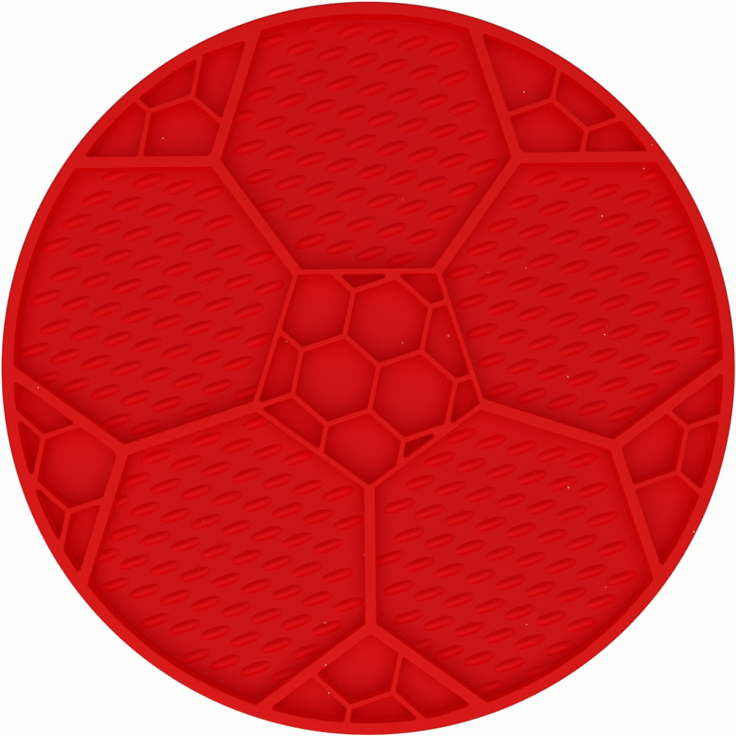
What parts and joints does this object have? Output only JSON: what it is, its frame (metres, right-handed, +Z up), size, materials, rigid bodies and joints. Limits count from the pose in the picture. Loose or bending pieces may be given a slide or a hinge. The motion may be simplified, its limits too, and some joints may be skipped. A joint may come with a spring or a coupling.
{
  "type": "lick mat",
  "caption": "Round flat silicone lick mat with a raised rim and a football pattern of walls, honeycomb ribs in the pentagons and slanted nubs in the panels.",
  "frame": {"origin": "centre of the mat's flat underside, on the table", "axes": "+Z up out of the pattern; +Y towards the flat side of the middle pentagon, so that its corner points to -Y"},
  "size_m": [0.2, 0.2, 0.008],
  "materials": {
    "red_silicone": "satin"
  },
  "bodies": {
    "root": {"base_sheet": "red_silicone", "outer_rim": "red_silicone", "centre_pentagon_wall": "red_silicone", "centre_honeycomb": "red_silicone", "spoke_wall_1": "red_silicone", "spoke_wall_2": "red_silicone", "spoke_wall_3": "red_silicone", "spoke_wall_4": "red_silicone", "spoke_wall_5": "red_silicone", "edge_wall_1": "red_silicone", "edge_wall_2": "red_silicone", "edge_wall_3": "red_silicone", "edge_wall_4": "red_silicone", "edge_wall_5": "red_silicone", "edge_honeycomb_1": "red_silicone", "edge_honeycomb_2": "red_silicone", "edge_honeycomb_3": "red_silicone", "edge_honeycomb_4": "red_silicone", "edge_honeycomb_5": "red_silicone", "nub_field_1": "red_silicone", "nub_field_2": "red_silicone", "nub_field_3": "red_silicone", "nub_field_4": "red_silicone", "nub_field_5": "red_silicone"}
  },
  "joints": []
}
